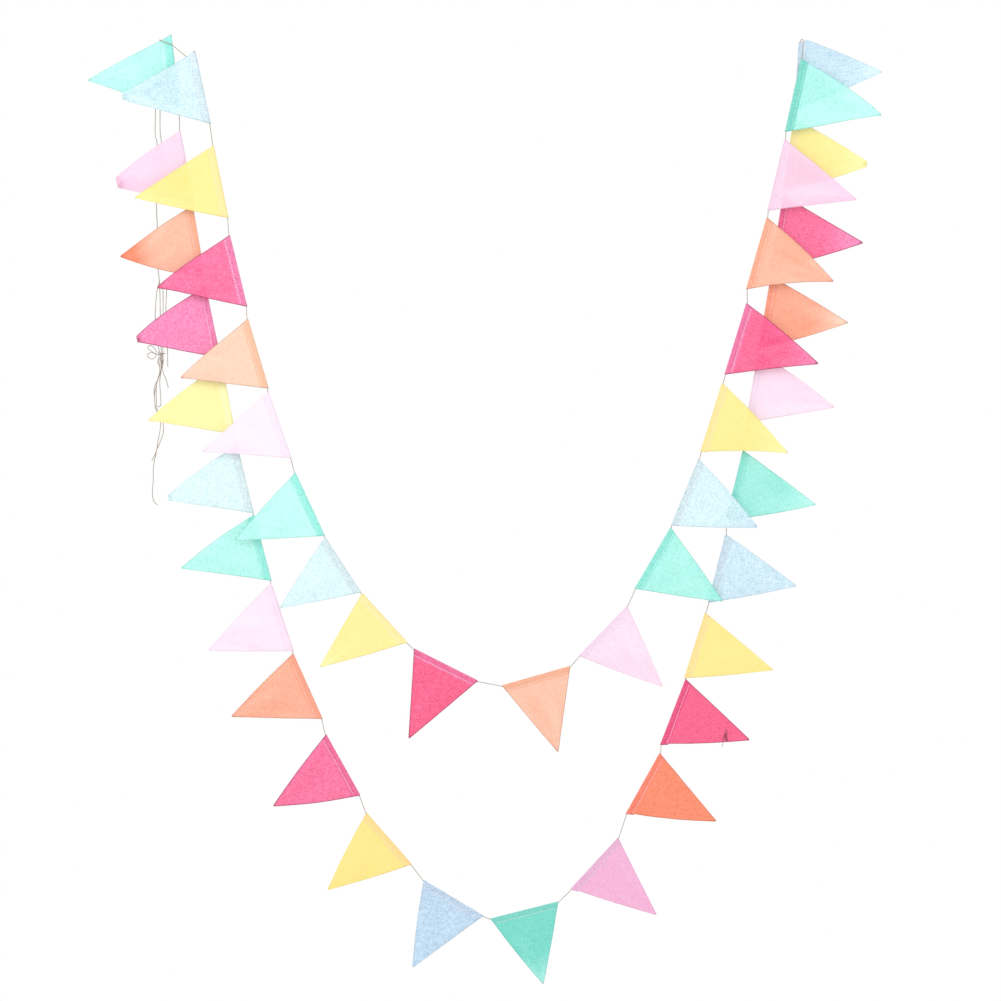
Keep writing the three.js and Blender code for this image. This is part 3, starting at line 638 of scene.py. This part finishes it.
def knot_route():
    """A trefoil, the path of an overhand knot, stretched to the knot's size less half a twine."""
    t = np.linspace(0, 2 * np.pi, 240)
    flat = (2 + np.cos(3 * t)) / 3
    unit = np.stack([flat * np.sin(2 * t), np.sin(3 * t) * 0.8, flat * np.cos(2 * t)], axis=1)
    return np.array(KNOT["centre"]) + unit * (np.array(KNOT["half"]) - 0.9)


# ---------------- materials

WHITE = (1.0, 1.0, 1.0)

# The sockets of a Mix node that mixes colours
SHARE, UNDER, OVER, MIXED = 0, 6, 7, 2


def add_node(tree, kind, inputs=(), output=0, **settings):
    """Adds a node with its settings, and gives the output that is asked for. Its inputs come in
    order, or by name or number, and each is linked to a socket or set to a value."""
    node = tree.nodes.new("ShaderNode" + kind)
    for name, value in settings.items():
        setattr(node, name, value)
    for place, value in inputs.items() if isinstance(inputs, dict) else enumerate(inputs):
        if isinstance(value, bpy.types.NodeSocket):
            tree.links.new(value, node.inputs[place])
        elif node.inputs[place].type == "RGBA":
            node.inputs[place].default_value = (*value, 1.0)
        else:
            node.inputs[place].default_value = value
    return node.outputs[output] if node.outputs else None


def new_material(name):
    """A material with an empty node tree."""
    material = bpy.data.materials.new(name)
    material.use_nodes = True
    material.node_tree.nodes.clear()
    return material, material.node_tree


def finish_material(material, finish):
    """Gives a material its shader, with the inputs of its finish."""
    surface = add_node(material.node_tree, "BsdfPrincipled", finish)
    add_node(material.node_tree, "OutputMaterial", {"Surface": surface})
    return material


def dyed_over(tree, colour, *layers):
    """A colour with others laid over it in turn, each by its share of cover from 0 to 1."""
    for share, over in layers:
        inputs = {SHARE: share, UNDER: colour, OVER: over}
        colour = add_node(tree, "Mix", inputs, MIXED, data_type="RGBA")
    return colour


def band(tree, value, middle, half, end, strength):
    """Full strength within half of the middle, falling in a straight line to nothing at end from it."""
    offset = add_node(tree, "Math", (value, middle), operation="SUBTRACT")
    away = add_node(tree, "Math", (offset,), operation="ABSOLUTE")
    return add_node(tree, "MapRange", (away, half, end, strength, 0.0))


# Plain-woven cotton, dyed in the piece. Slubbed yarns give it a fine cross-hatch and small specks,
# it is dull, it passes some light, its hem is deeper from its double cloth and from painted shade, and its
# cut sides from painted shade.
# The yarns are 0.5 mm apart and are drawn 2 mm apart, which is as fine as shows.
# The blue one has white and dyed yarns in one, which gives it a stronger grain.
# body: how much of the light it stops. dark, light: how far its grain goes down and up.
# specks: strength of its slubs. rim: painted shade along its cut sides. hollow: painted
# shade of its hem below the twine. ridge: painted highlight along its seam.
LOOK_COLUMNS = "body dark light specks rim hollow ridge".split()
CLOTH_LOOKS = {
    "mint": (0.70, 0.24, 0.07, 0.10, 0.20, 0.06, 0.08),
    "lavender": (0.70, 0.10, 0.05, 0.05, 0.06, 0.03, 0.04),
    "peach": (0.80, 0.15, 0.08, 0.16, 0.30, 0.05, 0.10),
    "pink": (0.80, 0.40, 0.08, 0.50, 0.75, 0.12, 0.12),
    "yellow": (0.76, 0.08, 0.04, 0.05, 0.04, 0.03, 0.04),
    "blue": (0.68, 0.33, 0.18, 0.12, 0.10, 0.04, 0.05),
}

YARNS_A_CM = 5.0  # yarns drawn in each centimetre
YARN_RUN = 0.8  # slow change along a yarn, in each centimetre
PLAIN_GRAIN = 4.6  # spots of plain grain in each centimetre
SLUBS_A_CM = 6.5  # places in each centimetre where a slub can lie

# Bands of painted shade across the hem, by their drop: middle, half of the even part, and half of the
# whole
FOLD = (0.0, 0.6, 2.0)
HEM_SHADE = (5.0, 1.5, 4.5)
RAW_EDGE = (ALLOWANCE - 0.4, 0.4, 1.4)


def yarn_pattern(tree, cloth):
    """Grain of the weave, from 0 to 1: noise drawn out along the warp and along the weft, and plain
    noise, in centimetres on the flat cloth, shifted from flag to flag. Also small dark slubs."""
    shift = add_node(tree, "Attribute", output="Fac", attribute_name="shift")
    offset = add_node(tree, "CombineXYZ", (shift, shift, shift))
    moved = add_node(tree, "VectorMath", (cloth, offset), operation="ADD")
    warp_scale, weft_scale = (YARNS_A_CM, YARN_RUN, 1.0), (YARN_RUN, YARNS_A_CM, 1.0)
    warp = add_node(tree, "Mapping", {"Vector": moved, "Scale": warp_scale})
    weft = add_node(tree, "Mapping", {"Vector": moved, "Scale": weft_scale})
    ends = add_node(tree, "TexNoise", {"Vector": warp, "Scale": 1.0, "Detail": 1.0})
    picks = add_node(tree, "TexNoise", {"Vector": weft, "Scale": 1.0, "Detail": 1.0})
    plain = add_node(tree, "TexNoise", {"Vector": moved, "Scale": PLAIN_GRAIN, "Detail": 1.0})
    yarns = add_node(tree, "Math", (ends, picks), operation="ADD")
    doubled = add_node(tree, "Math", (plain, 2.0), operation="MULTIPLY")
    total = add_node(tree, "Math", (yarns, doubled), operation="ADD")
    grain = add_node(tree, "MapRange", (total, 1.45, 2.55))
    knobs = add_node(tree, "TexNoise", {"Vector": moved, "Scale": SLUBS_A_CM, "Detail": 0.0})
    return grain, add_node(tree, "MapRange", (knobs, 0.68, 0.78))


def needle_hole_shade(tree, cloth, below_seam, pitch):
    """Dark dots of painted shade where the stitches go through: distance from the nearest point of a
    row on the seam, in millimetres, one dot for each stitch."""
    along = add_node(tree, "SeparateXYZ", (cloth,))
    beat_cm = add_node(tree, "Math", (along, pitch / 20), operation="PINGPONG")
    beat = add_node(tree, "Math", (beat_cm, 10.0), operation="MULTIPLY")
    beat_squared = add_node(tree, "Math", (beat, 2.0), operation="POWER")
    seam_squared = add_node(tree, "Math", (below_seam, 2.0), operation="POWER")
    squares = add_node(tree, "Math", (beat_squared, seam_squared), operation="ADD")
    distance = add_node(tree, "Math", (squares,), operation="SQRT")
    return add_node(tree, "MapRange", (distance, 0.45, 0.85, 0.6, 0.0))


def cotton(cloth_name, colours, sizes):
    """Dyed plain-woven cotton."""
    look = dict(zip(LOOK_COLUMNS, CLOTH_LOOKS[cloth_name]))
    material, tree = new_material(f"woven_cotton_{cloth_name}")
    fresh, washed_out, hem_fresh, hem_washed_out = (
        tuple(getattr(colours, f"{cloth_name}_{part}")) for part in DYED_PARTS
    )
    # a deeper shade of the dye, used for painted shade and for the slubs, falls least in the colour that
    # is strongest in the dye
    strongest = np.array(fresh) ** 4
    deep = tuple(np.array(fresh) * (0.3 + 0.2 * strongest))
    grain_low = tuple(1 - look["dark"] * (1 - 0.3 * strongest))
    # the colour of painted shade, at the needle holes and along the cut sides
    shade_colour = tuple(np.array(fresh) * 0.3)
    cloth = add_node(tree, "UVMap", uv_map="cloth")
    grain, slubs = yarn_pattern(tree, cloth)
    drop, painted_light, seam, edge = (
        add_node(tree, "Attribute", output="Fac", attribute_name=name)
        for name in ("drop", "painted_light", "seam", "edge")
    )
    hemmed = add_node(tree, "MapRange", (drop, ALLOWANCE - 0.2, ALLOWANCE + 0.2, 1.0, 0.0))
    # painted light: each point is mixed toward the washed-out colours by its painted light
    hem = dyed_over(tree, hem_fresh, (painted_light, hem_washed_out))
    # painted shade: the fold is greyed in the twine's colour, for the twine showing through and the shade
    # of the curved fold; the hem is painted deepest below it; a painted shadow lies along the raw edge
    fold = band(tree, drop, *FOLD, 0.14)
    hollow = band(tree, drop, *HEM_SHADE, look["hollow"])
    raw_edge = band(tree, drop, *RAW_EDGE, 0.06)
    painted_shade = add_node(tree, "Math", (hollow, raw_edge), operation="ADD")
    twine = tuple(colours.twine)
    shaded = dyed_over(tree, fresh, (painted_light, washed_out), (hemmed, hem), (fold, twine), (painted_shade, deep))
    # the grain goes down by a share of each colour and up toward white
    lowered = {SHARE: 1.0, UNDER: shaded, OVER: grain_low}
    low = add_node(tree, "Mix", lowered, MIXED, data_type="RGBA", blend_type="MULTIPLY")
    high = dyed_over(tree, shaded, (look["light"], WHITE))
    specks = add_node(tree, "Math", (slubs, look["specks"]), operation="MULTIPLY")
    # the seam draws the cloth together: a painted highlight along its ridge, and a dot of painted shade at
    # every needle hole
    from_seam = add_node(tree, "Math", (drop, seam), operation="SUBTRACT")
    below_seam = add_node(tree, "Math", (from_seam,), operation="ABSOLUTE")
    highlight_crest = add_node(tree, "MapRange", (below_seam, 0.6, 1.3, look["ridge"], 0.0))
    ridge = add_node(tree, "Math", (highlight_crest, hemmed), operation="MULTIPLY")
    dots = needle_hole_shade(tree, cloth, below_seam, sizes.stitch_pitch / MM)
    hole_shade = add_node(tree, "Math", (dots, hemmed), operation="MULTIPLY")
    # painted shade along the cut sides
    rim = add_node(tree, "MapRange", (edge, 1.1, 2.0, look["rim"], 0.0))
    coloured = dyed_over(
        tree, low, (grain, high), (specks, deep), (ridge, WHITE), (hole_shade, shade_colour), (rim, shade_colour),
    )
    bump = add_node(tree, "Bump", {"Height": grain, "Strength": 0.35, "Distance": 0.0004})
    return finish_material(material, {
        "Base Color": coloured, "Normal": bump, "Roughness": 0.88, "Specular IOR Level": 0.2,
        "Sheen Weight": 0.15, "Alpha": look["body"],
    })


# Jute twine of three plies: matt bast fibre, straw-brown going grey, with painted shade in the grooves
# between the plies, with pale flecks of single fibres. Fibres are 0.05 mm wide and are drawn 1 mm apart.
def jute(colours):
    """Jute twine."""
    material, tree = new_material("jute_twine")
    twine = np.array(colours.twine)
    pale, plain, worn, deep = (tuple(np.minimum(twine * share, 1)) for share in (1.5, 0.8, 0.6, 0.4))
    position = add_node(tree, "TexCoord", output="Object")
    fibres = {"Vector": position, "Scale": 900.0, "Detail": 3.0, "Roughness": 0.6}
    flecks = add_node(tree, "TexNoise", fibres)
    run = add_node(tree, "Attribute", output="Fac", attribute_name="run")
    along = add_node(tree, "CombineXYZ", (run,))
    weathered = add_node(tree, "TexNoise", {"Vector": along, "Scale": 0.12})
    ply = add_node(tree, "Attribute", output="Fac", attribute_name="ply")
    fleck = add_node(tree, "MapRange", (flecks, 0.4, 0.7))
    patch = add_node(tree, "MapRange", (weathered, 0.35, 0.65, 0.0, 0.4))
    groove_shade = add_node(tree, "MapRange", (ply, -1.0, 0.2, 0.6, 0.0))
    coloured = dyed_over(tree, plain, (fleck, pale), (patch, worn), (groove_shade, deep))
    bump = add_node(tree, "Bump", {"Height": flecks, "Strength": 0.5, "Distance": 0.0003})
    return finish_material(material, {
        "Base Color": coloured, "Normal": bump, "Roughness": 0.92, "Specular IOR Level": 0.2,
        "Sheen Weight": 0.2,
    })


# Spun polyester sewing thread, two-ply, with a faint lustre and short fibres that break its colour.
# Its plies are 0.3 mm apart and are drawn 0.5 mm apart.
def sewing_thread(name, colour):
    """Spun sewing thread."""
    material, tree = new_material(name)
    position = add_node(tree, "TexCoord", output="Object")
    fibres = add_node(tree, "TexNoise", {"Vector": position, "Scale": 2000.0})
    fibre = add_node(tree, "MapRange", (fibres, 0.3, 0.7))
    coloured = dyed_over(tree, tuple(np.array(colour) * 0.86), (fibre, tuple(colour)))
    return finish_material(material, {"Base Color": coloured, "Roughness": 0.6, "Sheen Weight": 0.1})


# Matt emulsion paint, rolled: near white, without gloss, with a faint cloudiness 30 cm across.
def matt_paint():
    """Matt paint of the floor."""
    material, tree = new_material("matt_floor_paint")
    position = add_node(tree, "TexCoord", output="Object")
    cloud = add_node(tree, "TexNoise", {"Vector": position, "Scale": 3.0, "Detail": 3.0})
    coloured = dyed_over(tree, linear("#efeeec"), (cloud, linear("#f6f5f3")))
    return finish_material(material, {"Base Color": coloured, "Roughness": 0.9})


# ---------------- operators

# The camera and the two soft lamps, in metres, degrees and watts, with the lens in millimetres
CAMERA = {"place": (0.6384, -3.3, -0.6281), "pitch": 85.5, "lens": 60.24, "sensor": 36}
LAMPS = (("key", (-1.4, -2.6, 1.2), 46.0), ("fill", (2.4, -2.8, 0.2), 20.0))
LAMP_SIZE = 2.2
LAMP_AIM = (0.6, 0.0, -0.8)

# The floor's four sides and its height
FLOOR = {"left": -1600, "right": 2800, "near": -2600, "far": 650, "height": -2200}


class BUNTING_OT_stage(Operator):
    """Floor, white surroundings, soft lamps and the camera"""

    bl_idname = "bunting.stage"
    bl_label = "Stage"

    def execute(self, context):
        scene = context.scene
        scene.view_settings.view_transform = "Standard"
        camera = bpy.data.objects.new("camera", bpy.data.cameras.new("camera"))
        camera.location = CAMERA["place"]
        camera.rotation_euler = (math.radians(CAMERA["pitch"]), 0, 0)
        camera.data.sensor_width = CAMERA["sensor"]
        camera.data.lens = CAMERA["lens"]
        scene.collection.objects.link(camera)
        scene.camera = camera
        world = bpy.data.worlds.new("white_room")
        world.use_nodes = True
        background = world.node_tree.nodes["Background"]
        background.inputs["Color"].default_value = (*WHITE, 1.0)
        background.inputs["Strength"].default_value = 1.0
        scene.world = world
        for name, place, power in LAMPS:
            lamp = bpy.data.lights.new(name, "AREA")
            lamp.size = LAMP_SIZE
            lamp.energy = power
            holder = bpy.data.objects.new(name, lamp)
            holder.location = place
            aim = np.array(LAMP_AIM) - np.array(place)
            flat = math.hypot(aim[0], aim[1])
            holder.rotation_euler = (math.atan2(flat, -aim[2]), 0, math.atan2(-aim[0], aim[1]))
            scene.collection.objects.link(holder)
        left, right, near, far, height = FLOOR.values()
        corners = [(left, near, height), (right, near, height), (right, far, height), (left, far, height)]
        new_object("floor", corners, [[(0, 1, 2, 3)]], matt_paint(), smooth=False)
        return {"FINISHED"}


class BUNTING_OT_loose_ends(Operator):
    """The two loose ends of the twine and the tie that gathers them in a bow"""

    bl_idname = "bunting.loose_ends"
    bl_label = "Loose ends"

    def execute(self, context):
        sizes = context.scene.bunting_sizes
        material = jute(context.scene.bunting_colours)
        cords = (
            ("tail_long", TAIL_LONG),
            ("tail_looped", TAIL_LOOPED),
            ("tie_long", winding_points() + TIE_AFTER_WINDING),
            ("tie_short", TIE_SHORT),
        )
        for name, points in cords:
            route = smooth_route(points, ROUTE_STEP)
            radius, pitch = sizes.twine_radius / MM, sizes.ply_pitch / MM
            piece = make_loose_cord(name + "_cord", route, radius, pitch, material)
            finish_piece(piece, "jute", name)
        return {"FINISHED"}


class BUNTING_OT_main_twine(Operator):
    """The twine through every hem, and its knot at the left hanging point"""

    bl_idname = "bunting.main_twine"
    bl_label = "Main twine"

    def execute(self, context):
        sizes = context.scene.bunting_sizes
        radius, pitch = sizes.twine_radius / MM, sizes.ply_pitch / MM
        material = bpy.data.materials["jute_twine"]
        outer, inner = place_flags(OUTER_SWAG), place_flags(INNER_SWAG)
        out = [mouth for flag in outer for mouth in hem_mouths(flag)]
        back = [mouth for flag in inner for mouth in hem_mouths(flag)][::-1]
        left = smooth_route([*LEFT_TURN, out[0]], TURN_STEP)
        right = smooth_route([out[-1], *RIGHT_TURN, back[0]], TURN_STEP)
        points = np.vstack([left, out, right, back, KNOT_RETURN])
        apart = np.linalg.norm(np.diff(points, axis=0), axis=1) > 0.01
        route = even_route(points[np.append(apart, True)], ROUTE_STEP)
        finish_piece(make_twine("main_twine", route, radius, pitch, material), "jute", "twine")
        knot = even_route(knot_route(), ROUTE_STEP / 2)
        finish_piece(make_twine("left_knot", knot, radius, pitch, material), "jute")
        return {"FINISHED"}


class BUNTING_OT_flags(Operator):
    """The cloth flags of both swags"""

    bl_idname = "bunting.flags"
    bl_label = "Flags"

    def execute(self, context):
        sizes = context.scene.bunting_sizes
        colours = context.scene.bunting_colours
        cloths = {cloth: cotton(cloth, colours, sizes) for cloth in CLOTH_LOOKS}
        for flag in place_flags(OUTER_SWAG) + place_flags(INNER_SWAG):
            make_flag(flag, sizes, cloths[flag["cloth"]])
        return {"FINISHED"}


class BUNTING_OT_stitching(Operator):
    """The row of stitches along every hem, front and back, and one stray thread"""

    bl_idname = "bunting.stitching"
    bl_label = "Stitching"

    def execute(self, context):
        sizes = context.scene.bunting_sizes
        colours = context.scene.bunting_colours
        material = sewing_thread("spun_thread", colours.thread)
        for swag in (OUTER_SWAG, INNER_SWAG):
            points, faces, count = [], [], 0
            for flag in place_flags(swag):
                for side in (1, -1):
                    more, more_faces = stitch_row(flag, sizes, side)
                    points.append(more)
                    faces.append(more_faces + count)
                    count += len(more)
            piece = new_object(f"{swag['name']}_stitches", np.vstack(points), faces, material)
            finish_piece(piece, "cloth_yellow")
        flag = next(flag for flag in place_flags(OUTER_SWAG) if flag["name"] == STRAY_FLAG)
        span, drop, forward = np.array(STRAY_THREAD, float).T
        route = smooth_route(lay_on_flag(flag, span, drop, forward), ROUTE_STEP / 2)
        dark = sewing_thread("dark_spun_thread", colours.stray)
        finish_piece(make_twine("stray_thread", route, STRAY_RADIUS, STRAY_PITCH, dark), "jute")
        return {"FINISHED"}


class BUNTING_PT_panel(Panel):
    """Sizes, colours and steps of the bunting"""

    bl_idname = "BUNTING_PT_panel"
    bl_label = "Bunting"
    bl_space_type = "VIEW_3D"
    bl_region_type = "UI"
    bl_category = "Bunting"

    def draw(self, context):
        layout = self.layout
        for group in (context.scene.bunting_sizes, context.scene.bunting_colours):
            box = layout.box()
            for name in group.__annotations__:
                box.prop(group, name)
        for step in STEPS:
            layout.operator(step.bl_idname)


STEPS = (
    BUNTING_OT_stage,
    BUNTING_OT_loose_ends,
    BUNTING_OT_main_twine,
    BUNTING_OT_flags,
    BUNTING_OT_stitching,
)
CLASSES = (BuntingSizes, BuntingColours, *STEPS, BUNTING_PT_panel)


def register():
    """Adds the classes and the scene's settings."""
    for item in CLASSES:
        bpy.utils.register_class(item)
    bpy.types.Scene.bunting_sizes = PointerProperty(type=BuntingSizes)
    bpy.types.Scene.bunting_colours = PointerProperty(type=BuntingColours)


def unregister():
    """Takes the classes and the settings away."""
    del bpy.types.Scene.bunting_colours
    del bpy.types.Scene.bunting_sizes
    for item in reversed(CLASSES):
        bpy.utils.unregister_class(item)


def main():
    """Runs every step in order."""
    register()
    bpy.ops.bunting.stage()
    bpy.ops.bunting.loose_ends()
    bpy.ops.bunting.main_twine()
    bpy.ops.bunting.flags()
    bpy.ops.bunting.stitching()
    bpy.context.view_layer.update()


if __name__ == "__main__":
    main()
